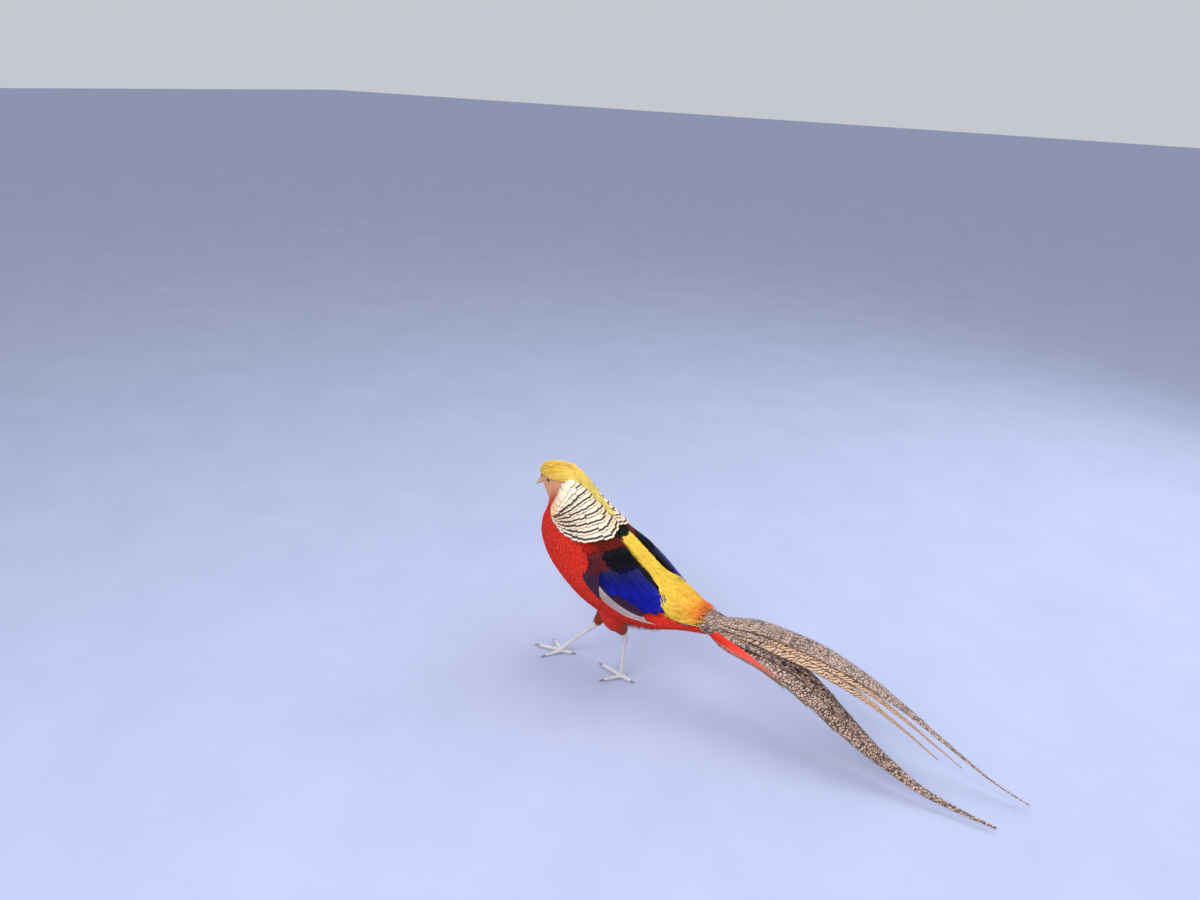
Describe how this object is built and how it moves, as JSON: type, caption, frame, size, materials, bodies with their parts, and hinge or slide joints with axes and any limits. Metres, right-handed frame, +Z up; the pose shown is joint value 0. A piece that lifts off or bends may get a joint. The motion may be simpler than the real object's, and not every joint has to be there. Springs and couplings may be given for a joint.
{
  "type": "golden pheasant",
  "caption": "Still life-size model of a male golden pheasant in mid-step, with a silky crest, barred cape, folded wings and a long arched tail.",
  "frame": {"origin": "centre of the bounding box, at the level of the floor under the feet", "axes": "-X the way the bird walks, -Y its left side, +Z up"},
  "size_m": [0.7578, 0.1506, 0.3446],
  "materials": {
    "crest": "silky golden plumage",
    "cape": "cream feathers with dark bars",
    "body": "soft scarlet plumage",
    "wing": "smooth dark blue and brown feathers",
    "tail": "buff feathers with dark spots",
    "bill": "pale horn",
    "eye": "wet gloss",
    "leg": "scaled skin",
    "claw": "dark horn"
  },
  "bodies": {
    "root": {"head": "crest", "eye_left": "eye", "eye_right": "eye", "bill_upper": "bill", "bill_lower": "bill", "neck": "cape", "torso": "body", "wing_left": "wing", "wing_right": "wing", "tail": "tail", "thigh_left": "body", "thigh_right": "body", "tarsus_left": "leg", "tarsus_right": "leg", "foot_left": "leg", "foot_right": "leg", "claw_left_1": "claw", "claw_left_2": "claw", "claw_left_3": "claw", "claw_left_4": "claw", "claw_right_1": "claw", "claw_right_2": "claw", "claw_right_3": "claw", "claw_right_4": "claw"}
  },
  "joints": []
}
